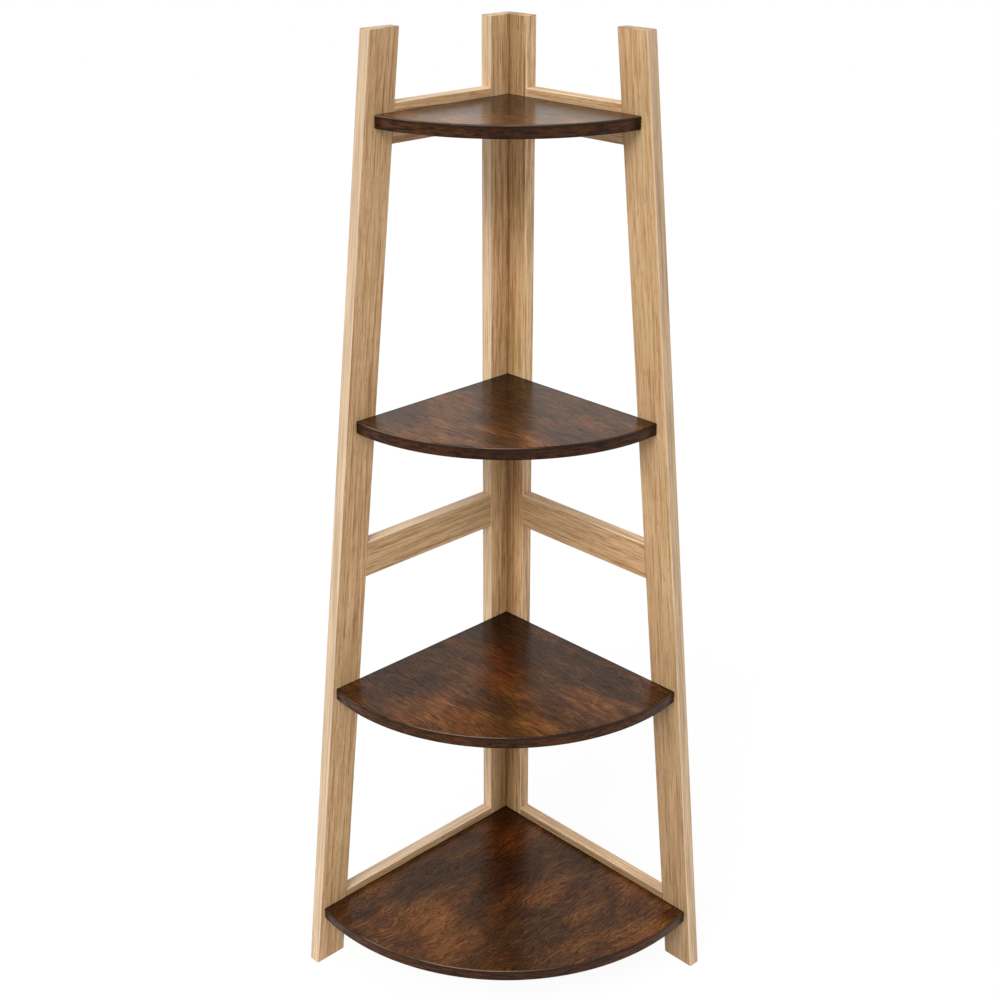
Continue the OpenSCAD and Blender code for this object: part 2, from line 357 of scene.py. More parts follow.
def corner_nut_hole(z):
    """A bore from the right post's outer face, across the corner bolt."""
    centre = to_room("right", BOARD_T + NUT_INSET, BOARD_T / 2, z)
    return blind_hole(NUT_HOLE_R, centre, (0, 1, 0), NUT_HALF, BOARD_T / 2 + PAST)


# How flat faces are shaded against their rounded edges: edges of this many degrees and more stay
# sharp, and large faces weigh this much
SHARP_FROM = 40
LARGE_FACE_WEIGHT = 100


def settle(piece, hole_groups):
    """Cuts each group of holes, then evens the shading of flat faces against their rounded edges,
    and keeps the result as the piece's own mesh."""
    cutters = []
    for number, holes in enumerate(hole_groups):
        cutter = closed_tubes(f"{piece.name}_cutter_{number}", holes)
        cut = piece.modifiers.new("holes", "BOOLEAN")
        cut.object = cutter
        cut.solver = "EXACT"
        cutters.append(cutter)
    keep_evaluated(piece)
    for cutter in cutters:
        bpy.data.objects.remove(cutter)
    piece.data.shade_smooth()
    piece.data.set_sharp_from_angle(angle=math.radians(SHARP_FROM))
    even = piece.modifiers.new("even_shading", "WEIGHTED_NORMAL")
    even.keep_sharp = True
    even.weight = LARGE_FACE_WEIGHT
    keep_evaluated(piece)


def keep_evaluated(piece):
    """Replaces a piece's mesh by what its modifiers make of it."""
    bpy.context.view_layer.update()
    graph = bpy.context.evaluated_depsgraph_get()
    made = bpy.data.meshes.new_from_object(piece.evaluated_get(graph))
    old = piece.data
    piece.modifiers.clear()
    piece.data = made
    made.name = piece.name
    bpy.data.meshes.remove(old)


def mesh_points(mesh):
    """The vertices' places as an array."""
    places = np.empty(len(mesh.vertices) * 3)
    mesh.vertices.foreach_get("co", places)
    return places.reshape(-1, 3)


def give(mesh, name, values):
    """Stores one number or one vector for each vertex under a name that a material reads."""
    kind, field = ("FLOAT_VECTOR", "vector") if values.ndim == 2 else ("FLOAT", "value")
    attribute = mesh.attributes.new(name, kind, "POINT")
    attribute.data.foreach_set(field, values.astype(np.float32).ravel())


def give_same(mesh, name, value):
    """Stores the same number or vector for every vertex."""
    give(mesh, name, np.broadcast_to(value, (len(mesh.vertices), *np.shape(value))))


# Where each board is cut from its log, so that no two boards show the same grain: up to so far to
# either side across the log, through it and along it
LOG_REACH = (0.03, 0.02, 4.0)
log_places = np.random.default_rng(20)


def give_wood(piece, across, through, along):
    """Stores a board's own directions across, through and along its grain, from its middle."""
    give(piece.data, "board_place", np.stack([across, through, along], axis=1))
    give_same(piece.data, "log_shift", log_places.uniform(-1, 1, 3) * LOG_REACH)


# Frame boards

# How light each board's faces and narrow faces are and, on a post, the joint in the corner, all as
# painted light and shade: one level, or shares of the board's length, from the floor up, each with
# the level there. Then how pale its narrow faces are, partly their own paler wood and partly
# painted light, and how strongly its grain shows, where it isn't as strong as the rails'. The
# posts' levels change at once behind the top shelf.
BOARD_PAINTED_LIGHT_AND_TONES = {
    "left_back_post": {
        "faces": ((0.15, 0.86), (0.30, 1.02), (0.90, 1.04), (0.93, 0.97)),
        "narrow": ((0.0, 1.08), (0.90, 1.04), (0.93, 0.97)),
        "joint": ((0.0, 0.62), (1.0, 1.02)),
        "pale": 0.48, "grain": 1.2,
    },
    "right_back_post": {
        "faces": ((0.15, 0.95), (0.30, 1.12), (0.5, 1.17), (0.90, 1.14), (0.93, 0.90)),
        "narrow": ((0.0, 1.04), (0.45, 1.12), (0.60, 1.16),
                   (0.66, 1.30), (0.90, 1.32), (0.93, 1.09)),
        "joint": ((0.0, 0.38), (0.35, 0.42), (0.64, 0.58), (0.90, 0.76), (0.93, 0.56)),
        "pale": 0.10, "grain": 1.2,
    },
    "left_front_leg": {
        "faces": ((0.0, 1.01), (0.5, 1.01), (0.9, 0.97), (1.0, 0.92)),
        "narrow": ((0.0, 0.90), (1.0, 0.89)),
        "pale": 0.66, "grain": 0.92,
    },
    "right_front_leg": {
        "faces": ((0.0, 0.66), (0.3, 0.79), (0.5, 0.94), (1.0, 0.95)),
        "narrow": ((0.0, 0.91), (1.0, 0.77)),
        "pale": 0.42, "grain": 0.75,
    },
    "left_top_rail": {"faces": 1.04, "narrow": 1.06, "pale": 0.80},
    "left_middle_rail": {"faces": 0.93, "narrow": 1.11, "pale": 0.80},
    "left_bottom_rail": {"faces": 0.77, "narrow": 1.00, "pale": 0.82},
    "right_top_rail": {"faces": 0.93, "narrow": 1.18, "pale": 0.35},
    "right_middle_rail": {"faces": 0.94, "narrow": 1.30, "pale": 0.35},
    "right_bottom_rail": {"faces": 0.58, "narrow": 1.08, "pale": 0.35},
}


def along_board(share, levels):
    """One level all along a board, or levels at places along it with straight runs between."""
    if isinstance(levels, float):
        return np.full(len(share), levels)
    places, values = zip(*levels)
    return np.interp(share, places, values)


def give_board(piece, board, half_size, share, from_joint):
    """Stores a frame board's half size and how light it is as painted light and shade, where share
    runs from 0 to 1 along it, and the distance from the corner's joint."""
    mesh = piece.data
    painted_light_and_tones = BOARD_PAINTED_LIGHT_AND_TONES[board]
    levels = [along_board(share, painted_light_and_tones[kind]) for kind in ("faces", "narrow", "pale")]
    give_same(mesh, "half_size", half_size)
    give(mesh, "painted_light_and_tones", np.stack(levels, axis=1))
    give_same(mesh, "grain_depth", painted_light_and_tones.get("grain", 1.0))
    give(mesh, "from_joint", from_joint)
    give(mesh, "painted_joint_shade", along_board(share, painted_light_and_tones.get("joint", 1.0)))


def standing_height(end, step):
    """The height at a share of a standing board's length, and a step inwards from its ends."""
    return HEIGHT * end + step * (1 - 2 * end)


def post_board(side):
    """A back post, upright in the corner. The left one laps the right one's edge."""
    start = 0.0 if side == "left" else BOARD_T
    width = POST_W - start
    middle = start + width / 2

    def place(across, through, end, step):
        return to_room(side, middle + across, BOARD_T / 2 + through, standing_height(end, step))

    piece = closed_tubes(f"{side}_back_post_board", [board_rings(width, place, END_ARRIS)])
    bolts = [bolt_hole(side, *spot) for spot in post_bolts()]
    bolts += [bolt_hole("left", *spot) for spot in corner_bolts()]
    dowels = [bore for rail in RAILS for bore in dowel_holes(side, rail, ["post"])]
    groups = [bolts, dowels]
    if side == "right":
        groups.append([corner_nut_hole(z) for _, z in corner_bolts()])
    settle(piece, groups)
    along, depth, z = from_room(side, mesh_points(piece.data))
    half_size = (width / 2, BOARD_T / 2, HEIGHT / 2)
    give_wood(piece, along - middle, depth - BOARD_T / 2, z - HEIGHT / 2)
    give_board(piece, f"{side}_back_post", half_size, z / HEIGHT, along - BOARD_T)
    return piece


def leg_board(side):
    """A front leg, which leans back as it rises and is cut level at both ends."""

    def place(across, through, end, step):
        z = standing_height(end, step)
        return to_room(side, leg_front(z) - LEG_RUN / 2 + across, BOARD_T / 2 + through, z)

    piece = closed_tubes(f"{side}_front_leg_board", [board_rings(LEG_RUN, place, END_ARRIS)])
    bolts = [bolt_hole(side, *leg_bolt(shelf)) for shelf in SHELVES]
    dowels = [bore for rail in RAILS for bore in dowel_holes(side, rail, ["leg"])]
    settle(piece, [bolts, dowels])
    along, depth, z = from_room(side, mesh_points(piece.data))
    across = (along - leg_front(z) + LEG_RUN / 2) * LEAN_COS
    half_size = (LEG_RUN / 2 * LEAN_COS, BOARD_T / 2, HEIGHT / 2)
    give_wood(piece, across, depth - BOARD_T / 2, z - HEIGHT / 2)
    give_board(piece, f"{side}_front_leg", half_size, z / HEIGHT, along - BOARD_T)
    return piece


def rail_board(side, name):
    """A rail between a post's front edge and a leg's leaning back edge."""
    low, high = rail_heights(name)
    middle = (low + high) / 2

    def place(across, through, end, step):
        z = middle + across
        near, far = POST_W + step, leg_back(z) - step
        return to_room(side, near + (far - near) * end, BOARD_T / 2 + through, z)

    piece = closed_tubes(f"{side}_{name}_board", [board_rings(high - low, place, RAIL_END_ARRIS)])
    settle(piece, [dowel_holes(side, name, ["post", "leg"])])
    along, depth, z = from_room(side, mesh_points(piece.data))
    half_size = ((high - low) / 2, BOARD_T / 2, FOOT_REACH)
    give_wood(piece, z - middle, depth - BOARD_T / 2, along - FOOT_REACH / 2)
    give_board(piece, f"{side}_{name}", half_size, along / FOOT_REACH, along - BOARD_T)
    return piece


# Shelves

def front_curve(shelf):
    """The front is an arc through both tips. With half the line between the tips h and the bow s,
    its radius is (h h + s s) / (2 s) and its centre lies as far from both straight sides."""
    bow = SHELVES[shelf]["bow"]
    half_chord = shelf_side(shelf) / math.sqrt(2)
    radius = (half_chord ** 2 + bow ** 2) / (2 * bow)
    return radius, (half_chord + bow - radius) / math.sqrt(2)


def shelf_outline(shelf):
    """A shelf's outline as places from the inner corner, outward directions and edge radii: the
    inner corner's round, a straight side, a tip's round, the front arc, the other tip's round.
    A tip's round touches the side and the arc, so its centre lies one tip radius from both."""
    radius, centre = front_curve(shelf)
    tip_x = centre + math.sqrt((radius - TIP_ROUND) ** 2 - (TIP_ROUND - centre) ** 2)
    tip_turn = math.atan2(TIP_ROUND - centre, tip_x - centre)
    stretches = (
        (INNER_ROUND, INNER_ROUND, INNER_ROUND, -math.pi, -math.pi / 2, ARRIS_STEPS),
        (tip_x, TIP_ROUND, TIP_ROUND, -math.pi / 2, tip_turn, TIP_STEPS),
        (centre, centre, radius, tip_turn, math.pi / 2 - tip_turn, FRONT_STEPS),
        (TIP_ROUND, tip_x, TIP_ROUND, math.pi / 2 - tip_turn, math.pi, TIP_STEPS),
    )
    edges = ((SIDE_ARRIS, SIDE_ARRIS), (SIDE_ARRIS, FRONT_ARRIS),
             (FRONT_ARRIS, FRONT_ARRIS), (FRONT_ARRIS, SIDE_ARRIS))
    across, out, turn, edge = [], [], [], []
    for (x, y, r, start, stop, steps), (edge_start, edge_stop) in zip(stretches, edges):
        angle = np.linspace(start, stop, steps + 1)
        across.append(x + r * np.cos(angle))
        out.append(y + r * np.sin(angle))
        turn.append(angle)
        edge.append(np.linspace(edge_start, edge_stop, steps + 1))
    places = np.stack([np.concatenate(across), np.concatenate(out)], axis=1)
    turn = np.concatenate(turn)
    keep = np.linalg.norm(places - np.roll(places, 1, axis=0), axis=1) > SAME_PLACE
    directions = np.stack([np.cos(turn), np.sin(turn)], axis=1)
    return places[keep], directions[keep], np.concatenate(edge)[keep]


def shelf_rings(shelf):
    """The outline carried over the shelf's edge: with an angle t from 90 degrees down to 0, it is
    drawn in by r (1 - cos t) and lies r (1 - sin t) below the top, and likewise at the bottom."""
    places, directions, edge = shelf_outline(shelf)
    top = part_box(shelf)[1].z
    tilt = np.linspace(math.pi / 2, 0, ARRIS_STEPS + 1)
    upper = edge[None, :] * (1 - np.sin(tilt))[:, None]
    drawn_in = edge[None, :] * (1 - np.cos(tilt))[:, None]
    heights = np.concatenate([top - upper, (top - SHELF_T + upper)[::-1]])
    drawn_in = np.concatenate([drawn_in, drawn_in[::-1]])
    spots = places - directions * drawn_in[:, :, None]
    return to_room("right", BOARD_T + spots[:, :, 0], BOARD_T + spots[:, :, 1], heights)


def spot_places(shelf, kind):
    """A shelf's spots as places across and along its grain, with their radii."""
    spots = []
    for right, out, radius in SHELVES[shelf][kind]:
        x, y = (out + right) / math.sqrt(2), (out - right) / math.sqrt(2)
        across, along = (y, x) if SHELVES[shelf]["grain"] == "right" else (x, y)
        spots.append((across, along, radius))
    return spots


def give_shelf(piece, shelf):
    """Stores what the shelf's finish reads: places along its grain, from its straight sides and
    from its front's centre, its spots, how fine it is, and its painted light and shade levels for
    the front and the inner corner."""
    mesh = piece.data
    traits = SHELVES[shelf]
    x, y, z = from_room("right", mesh_points(mesh))
    x, y, z = x - BOARD_T, y - BOARD_T, z - shelf_middle(shelf)
    across, along = (y, x) if traits["grain"] == "right" else (x, y)
    give_wood(piece, across, z, along)
    radius, centre = front_curve(shelf)
    give(mesh, "front_place", np.stack([x - centre, y - centre, z], axis=1))
    give(mesh, "side_place", np.stack([x, y, z], axis=1))
    give_same(mesh, "front_radius", radius)
    give_same(mesh, "front_sum", math.sqrt(2) * radius + 2 * centre)
    for kind in SPOT_WEIGHTS:
        for number, spot in enumerate(spot_places(shelf, kind)):
            give_same(mesh, f"{kind}_spot_{number}", spot)
    for trait in ("curl", "fineness", "gloss", "corner"):
        give_same(mesh, trait, traits[trait])
    # Painted light on the front: lighter towards both tips and towards the left
    to_left = (y - x) / shelf_side(shelf)
    level = FRONT_MIDDLE + FRONT_TIP_GAIN * np.abs(to_left) + FRONT_LEFT_GAIN * to_left
    give(mesh, "front_painted_light", traits["front"] * level)


def shelf_panel(shelf):
    """A shelf with its bolt bores in the straight sides and its nut bores from below."""
    piece = closed_tubes(f"{shelf}_panel", [shelf_rings(shelf)])
    at_post = (POST_W - POST_BOLT_IN, shelf_middle(shelf))
    bolts = [(side, *place) for side in SIDES for place in (at_post, leg_bolt(shelf))]
    settle(piece, [
        [bolt_hole(*bolt) for bolt in bolts],
        [shelf_nut_hole(*bolt) for bolt in bolts],
    ])
    give_shelf(piece, shelf)
    return piece


# Short calls for shader nodes

def feed(tree, node, inputs):
    """Gives a node's inputs plain values or other nodes' outputs."""
    for key, value in inputs.items():
        if isinstance(value, bpy.types.NodeSocket):
            tree.links.new(value, node.inputs[key])
        else:
            node.inputs[key].default_value = value
    return node


def add(tree, kind, inputs=None, **settings):
    """A new node with its settings and inputs."""
    made = tree.nodes.new(kind)
    for name, setting in settings.items():
        setattr(made, name, setting)
    return feed(tree, made, inputs or {})


def use(tree, effect, inputs):
    """Places an effect in a material."""
    return add(tree, "ShaderNodeGroup", inputs, node_tree=effect).outputs


def sums(tree, operation, first, second=0.0, third=0.0):
    """One operation on plain numbers."""
    inputs = {0: first, 1: second, 2: third}
    return add(tree, "ShaderNodeMath", inputs, operation=operation).outputs[0]


def times(tree, first, *others):
    """The product of some numbers."""
    product = first
    for other in others:
        product = sums(tree, "MULTIPLY", product, other)
    return product


def vectors(tree, operation, first, second=(0, 0, 0)):
    """One operation on vectors."""
    made = add(tree, "ShaderNodeVectorMath", {0: first, 1: second}, operation=operation)
    return made.outputs["Value"] if operation == "LENGTH" else made.outputs["Vector"]


def parts(tree, vector):
    """A vector's three numbers."""
    return add(tree, "ShaderNodeSeparateXYZ", {0: vector}).outputs


def by_grain(tree, across, along):
    """A vector with one number across and through the grain and another along it."""
    return add(tree, "ShaderNodeCombineXYZ", {0: across, 1: across, 2: along}).outputs[0]


def eased(tree, value, low, high, to_low=0.0, to_high=1.0):
    """A smooth step of a value from one range to another."""
    inputs = {
        "Value": value, "From Min": low, "From Max": high, "To Min": to_low, "To Max": to_high,
    }
    made = add(tree, "ShaderNodeMapRange", inputs, interpolation_type="SMOOTHSTEP")
    return made.outputs["Result"]


def mixed(tree, share, first, second, blend="MIX"):
    """Two colours mixed by a share."""
    inputs = {0: share, 6: first, 7: second}
    return add(tree, "ShaderNodeMix", inputs, data_type="RGBA", blend_type=blend).outputs[2]


def tinted(tree, colour, red, green, blue):
    """A colour times a level for each of its parts."""
    levels = add(tree, "ShaderNodeCombineColor", {0: red, 1: green, 2: blue}).outputs[0]
    return mixed(tree, 1.0, colour, levels, "MULTIPLY")


def shaded(tree, colour, level):
    """A colour times a plain level."""
    return tinted(tree, colour, level, level, level)


def deepened(tree, colour, level):
    """A colour times a level that takes more of its green and most of its blue."""
    green = sums(tree, "POWER", level, 1.1)
    blue = sums(tree, "POWER", level, 1.4)
    return tinted(tree, colour, level, green, blue)


def noise(tree, place, rates, detail=2.0, roughness=0.5, colour=False):
    """Soft noise with so many waves per metre along each of a place's directions."""
    inputs = {
        "Vector": vectors(tree, "MULTIPLY", place, rates),
        "Scale": 1.0, "Detail": detail, "Roughness": roughness,
    }
    return add(tree, "ShaderNodeTexNoise", inputs).outputs["Color" if colour else "Fac"]


def swayed(tree, place, sway_place, rates, reach, detail=2.0):
    """A place moved by the noise at another place, less its middle, times a reach."""
    sway = noise(tree, sway_place, rates, detail, colour=True)
    sway = vectors(tree, "SUBTRACT", sway, (0.5, 0.5, 0.5))
    return vectors(tree, "ADD", place, vectors(tree, "MULTIPLY", sway, reach))


def read(tree, name, number=False):
    """A number or vector that a piece's mesh stores."""
    made = add(tree, "ShaderNodeAttribute", attribute_name=name)
    return made.outputs["Fac" if number else "Vector"]


def start_effect(name, inputs, outputs):
    """A shader node group with named sockets: inputs gives the first value of each number or
    vector that goes in, and outputs names the numbers that come out."""
    tree = bpy.data.node_groups.new(name, "ShaderNodeTree")
    for socket, value in inputs.items():
        kind = "NodeSocketVector" if isinstance(value, tuple) else "NodeSocketFloat"
        made = tree.interface.new_socket(socket, in_out="INPUT", socket_type=kind)
        made.default_value = value
    for socket in outputs:
        tree.interface.new_socket(socket, in_out="OUTPUT", socket_type="NodeSocketFloat")
    entry = tree.nodes.new("NodeGroupInput")
    return tree, entry.outputs


def end_effect(tree, results):
    """Links an effect's results to its named outputs."""
    feed(tree, tree.nodes.new("NodeGroupOutput"), results)
    return tree


# Effects that the finishes share

def make_fibres():
    """Noise drawn out along the grain: so many streaks per metre across it and along it."""
    tree, given = start_effect(
        "wood_fibres",
        {"Place": (0, 0, 0), "Across": 500.0, "Along": 15.0, "Detail": 3.0},
        ["Fibres"],
    )
    rates = by_grain(tree, given["Across"], given["Along"])
    streaks = noise(tree, given["Place"], rates, given["Detail"], roughness=0.6)
    return end_effect(tree, {"Fibres": streaks})


def make_lines():
    """Thin wavy lines along the grain, where a drawn out noise crosses its middle value."""
    tree, given = start_effect(
        "grain_lines",
        {"Place": (0, 0, 0), "Across": 240.0, "Along": 13.0, "Width": 0.05},
        ["Lines"],
    )
    rates = by_grain(tree, given["Across"], given["Along"])
    value = noise(tree, given["Place"], rates, detail=1.5)
    off = sums(tree, "ABSOLUTE", sums(tree, "SUBTRACT", value, 0.5))
    return end_effect(tree, {"Lines": eased(tree, off, 0.0, given["Width"], 1.0, 0.0)})


def make_rings():
    """Growth rings: the distance from a wandering pith, counted in ring gaps. Each ring darkens
    slowly and ends at once."""
    tree, given = start_effect(
        "growth_rings",
        {"Place": (0, 0, 0), "Pith": (0.09, 0.05, 0), "Gap": 0.003, "Wander": 0.02, "Sharp": 2.0},
        ["Ring"],
    )
    wander = by_grain(tree, given["Wander"], 0.0)
    place = swayed(tree, given["Place"], given["Place"], (7, 7, 1.6), wander)
    flat = vectors(tree, "MULTIPLY", vectors(tree, "ADD", place, given["Pith"]), (1, 1, 0))
    count = sums(tree, "DIVIDE", vectors(tree, "LENGTH", flat), given["Gap"])
    ring = sums(tree, "POWER", sums(tree, "FRACT", count), given["Sharp"])
    return end_effect(tree, {"Ring": ring})


def make_board_faces():
    """Tells a board's rounded edges and narrow faces apart. Of the distances to its three pairs of
    faces, the middle one is the distance to the nearest edge. The front edge is the one towards
    the room and away from the corner, or on a rail the upper one."""
    tree, given = start_effect(
        "board_faces",
        {"Place": (0, 0, 0), "Half size": (0.027, 0.0095, 0.7), "Arris": 0.002},
        ["Front edge", "Back edge", "Narrow face"],
    )
    gap = vectors(tree, "SUBTRACT", given["Half size"], vectors(tree, "ABSOLUTE", given["Place"]))
    across, through, along = parts(tree, gap)
    least = sums(tree, "MINIMUM", across, through)
    most = sums(tree, "MAXIMUM", across, through)
    nearest = sums(tree, "MAXIMUM", least, sums(tree, "MINIMUM", most, along))
    edge = eased(tree, nearest, 0.0, given["Arris"], 1.0, 0.0)
    from_narrow = sums(tree, "MINIMUM", across, along)
    side = parts(tree, given["Place"])
    front = sums(tree, "GREATER_THAN", sums(tree, "MINIMUM", side[0], side[1]), 0.0)
    return end_effect(tree, {
        "Front edge": times(tree, edge, front),
        "Back edge": times(tree, edge, sums(tree, "SUBTRACT", 1.0, front)),
        "Narrow face": eased(tree, from_narrow, 0.0, given["Arris"], 1.0, 0.0),
    })


def make_shelf_edges():
    """Tells where a point on a shelf is. Its distances from the edges of the front and of the
    straight sides are inwards on the top, and down or up from the nearer edge on the front. Out is
    its share of the way from the corner to the front's middle, and to left is how much farther it
    is along the left wall than along the right one."""
    tree, given = start_effect(
        "shelf_edges",
        {"Front place": (0, 0, 0), "Side place": (0, 0, 0), "Front radius": 0.3,
         "Front sum": 0.5, "Half thickness": 0.009},
        ["From front edge", "From side edge", "From front", "From side", "From corner",
         "Out", "To left", "Height"],
    )
    from_centre = vectors(tree, "MULTIPLY", given["Front place"], (1, 1, 0))
    from_front = sums(tree, "SUBTRACT", given["Front radius"], vectors(tree, "LENGTH", from_centre))
    from_corner = vectors(tree, "MULTIPLY", given["Side place"], (1, 1, 0))
    right, left, height = parts(tree, given["Side place"])
    from_side = sums(tree, "MINIMUM", right, left)
    from_face = sums(tree, "SUBTRACT", given["Half thickness"], sums(tree, "ABSOLUTE", height))
    return end_effect(tree, {
        "From front edge": sums(tree, "MAXIMUM", from_front, from_face),
        "From side edge": sums(tree, "MAXIMUM", from_side, from_face),
        "From front": from_front,
        "From side": from_side,
        "From corner": vectors(tree, "LENGTH", from_corner),
        "Out": sums(tree, "DIVIDE", sums(tree, "ADD", right, left), given["Front sum"]),
        "To left": sums(tree, "SUBTRACT", left, right),
        "Height": height,
    })


def make_soft_spot():
    """Tells how near a point is to a spot's middle: one there and none at its rim. A spot is a
    place across and along the grain and a radius."""
    tree, given = start_effect(
        "soft_spot",
        {"Place": (0, 0, 0), "Spot": (0, 0, 0.05)},
        ["Share"],
    )
    place = parts(tree, given["Place"])
    spot_across, spot_along, radius = parts(tree, given["Spot"])
    across = sums(tree, "SUBTRACT", place[0], spot_across)
    along = sums(tree, "SUBTRACT", place[2], spot_along)
    along = sums(tree, "DIVIDE", along, SPOT_STRETCH)
    squares = sums(tree, "ADD", times(tree, across, across), times(tree, along, along))
    reach = sums(tree, "DIVIDE", sums(tree, "SQRT", squares), radius)
    return end_effect(tree, {"Share": eased(tree, reach, 0.1, 1.25, 1.0, 0.0)})


wood_fibres = make_fibres()
grain_lines = make_lines()
growth_rings = make_rings()
board_faces = make_board_faces()
shelf_edges = make_shelf_edges()
soft_spot = make_soft_spot()


def fibres_at(tree, place, across, along, detail=3.0):
    """Fibres with so many streaks per metre across the grain and along it."""
    inputs = {"Place": place, "Across": across, "Along": along, "Detail": detail}
    return use(tree, wood_fibres, inputs)["Fibres"]


def lines_at(tree, place, across, along, width):
    """Thin lines with so many waves per metre across the grain and along it."""
    inputs = {"Place": place, "Across": across, "Along": along, "Width": width}
    return use(tree, grain_lines, inputs)["Lines"]


# Finishes

def new_finish(name):
    """A material with one shader, ready for its effects."""
    finish = bpy.data.materials.new(name)
    finish.use_nodes = True
    tree = finish.node_tree
    shader = tree.nodes["Principled BSDF"]
    return finish, tree, shader


def relief(tree, shader, height, strength, distance):
    """Gives a surface its fine relief."""
    inputs = {"Height": height, "Strength": strength, "Distance": distance}
    feed(tree, shader, {"Normal": add(tree, "ShaderNodeBump", inputs).outputs["Normal"]})


# The colours of light oak
EARLY_OAK = (0.74, 0.485, 0.262, 1)
LATE_OAK = (0.345, 0.170, 0.062, 1)
PALE_OAK = (0.83, 0.60, 0.375, 1)
OAK_PORES = (0.25, 0.125, 0.05, 1)
ROSY_OAK = (0.53, 0.29, 0.13, 1)
OLIVE_OAK = (0.50, 0.355, 0.150, 1)
# Narrow faces: pale oak, partly painted light
PALE_AND_LIT_NARROW_OAK = (0.82, 0.62, 0.43, 1)
# A painted highlight for the front arrises and painted shade for the back ones
ARRIS_PAINTED_HIGHLIGHT = (0.86, 0.67, 0.44, 1)
ARRIS_PAINTED_SHADE = (0.26, 0.145, 0.07, 1)

# About how much of a frame board's face its late wood, streaks and flecks darken
MEAN_DARK = 0.42


def oak_grain(tree, place, dark, broad, pore):
    """Early wood that darkens to late wood, with pale streaks, pores, and rosy and olive fields."""
    tint = noise(tree, place, (30, 30, 4.5))
    colour = mixed(tree, dark, EARLY_OAK, LATE_OAK)
    colour = mixed(tree, eased(tree, broad, 0.30, 0.46, 0.45, 0.0), colour, PALE_OAK)
    colour = mixed(tree, pore, colour, OAK_PORES)
    colour = mixed(tree, eased(tree, tint, 0.50, 0.66, 0.0, 0.18), colour, ROSY_OAK)
    return mixed(tree, eased(tree, tint, 0.34, 0.48, 0.30, 0.0), colour, OLIVE_OAK)


def oak_board(tree, colour, board, broad, rift):
    """Grain laid on a board: paler narrow faces, partly pale wood and partly painted light; a
    painted highlight on the front arrises and painted shade on the back ones; painted shade near
    the joint in the corner; and the board's levels of painted light and shade."""
    faces = use(tree, board_faces, {"Place": board, "Half size": read(tree, "half_size")})
    face_painted_light, narrow_painted_light, paleness_and_light = parts(tree, read(tree, "painted_light_and_tones"))
    # Narrow faces paler: partly their own wood, partly painted light
    narrow = mixed(tree, paleness_and_light, colour, PALE_AND_LIT_NARROW_OAK)
    narrow = shaded(tree, narrow, eased(tree, broad, 0.36, 0.64, 1.06, 0.85))
    colour = mixed(tree, faces["Narrow face"], colour, narrow)
    # A painted highlight on the front arrises, painted shade on the back ones
    arris_highlight = times(tree, faces["Front edge"], eased(tree, broad, 0.30, 0.66, 0.70, 0.35))
    colour = mixed(tree, arris_highlight, colour, ARRIS_PAINTED_HIGHLIGHT)
    arris_shade = times(tree, faces["Back edge"], eased(tree, rift, 0.36, 0.6, 0.25, 0.75))
    colour = mixed(tree, arris_shade, colour, ARRIS_PAINTED_SHADE)
    # Painted shade near the corner's joint, and a thin dark line at the joint itself
    joint = read(tree, "from_joint", number=True)
    shade = eased(tree, joint, 0.0, 0.040, read(tree, "painted_joint_shade", number=True), 1.0)
    shade = times(tree, shade, eased(tree, joint, 0.0, 0.0025, 0.80, 1.0))
    colour = deepened(tree, colour, shade)
    # The board's painted light and shade on its faces and narrow faces
    return shaded(tree, colour, eased(tree, faces["Narrow face"], 0.0, 1.0, face_painted_light, narrow_painted_light))


def light_oak():
    """Satin oak: rings of pale early and tan late wood, dark streaks, flecks and pores along the
    grain, on boards with paler narrow faces, partly painted light, and a painted highlight on
    the front arrises."""
    finish, tree, shader = new_finish("light_oak")
    board = read(tree, "board_place")
    place = vectors(tree, "ADD", board, read(tree, "log_shift"))
    ring_shape = {"Place": place, "Gap": 0.0080, "Wander": 0.040, "Sharp": 2.2}
    broad = fibres_at(tree, place, 300.0, 8.0)
    fine = fibres_at(tree, place, 700.0, 24.0)
    rift = noise(tree, place, (45, 45, 3.0))
    ring = use(tree, growth_rings, ring_shape)["Ring"]
    late = times(tree, ring, eased(tree, rift, 0.38, 0.62, 0.10, 0.50))
    streaks = eased(tree, broad, 0.46, 0.68, 0.0, 0.55)
    flecks = eased(tree, fine, 0.47, 0.68, 0.0, 0.68)
    dark = sums(tree, "ADD", sums(tree, "ADD", late, streaks), flecks)
    dark = sums(tree, "SUBTRACT", dark, MEAN_DARK)
    dark = sums(tree, "MULTIPLY_ADD", dark, read(tree, "grain_depth", number=True), MEAN_DARK)
    pore = eased(tree, fibres_at(tree, place, 1000.0, 60.0, 1.0), 0.58, 0.72, 0.0, 0.55)
    colour = oak_grain(tree, place, dark, broad, pore)
    feed(tree, shader, {
        "Base Color": oak_board(tree, colour, board, broad, rift),
        "Roughness": eased(tree, fine, 0.3, 0.7, 0.44, 0.60),
        "Specular IOR Level": 0.28,
    })
    height = times(tree, sums(tree, "ADD", dark, pore), -1.0)
    relief(tree, shader, height, strength=0.30, distance=0.0002)
    return finish


# The colours of rustic brown, and the painted shade that tints its middle near the corner
GREY_BROWN = (0.036, 0.0122, 0.0028, 1)
RUST_BROWN = (0.119, 0.0362, 0.0044, 1)
WARM_BROWN = (0.212, 0.075, 0.0120, 1)
BLOT_BROWN = (0.014, 0.0055, 0.0022, 1)
PALE_LINE_BROWN = (0.29, 0.120, 0.036, 1)
MIDDLE_SHADE_TINT = (0.66, 0.42, 0.24, 1)
FRONT_DARK = (0.005, 0.0016, 0.0006, 1)
FRONT_LIGHT = (0.080, 0.0245, 0.0056, 1)
RIM_BROWN = (0.010, 0.0042, 0.0028, 1)
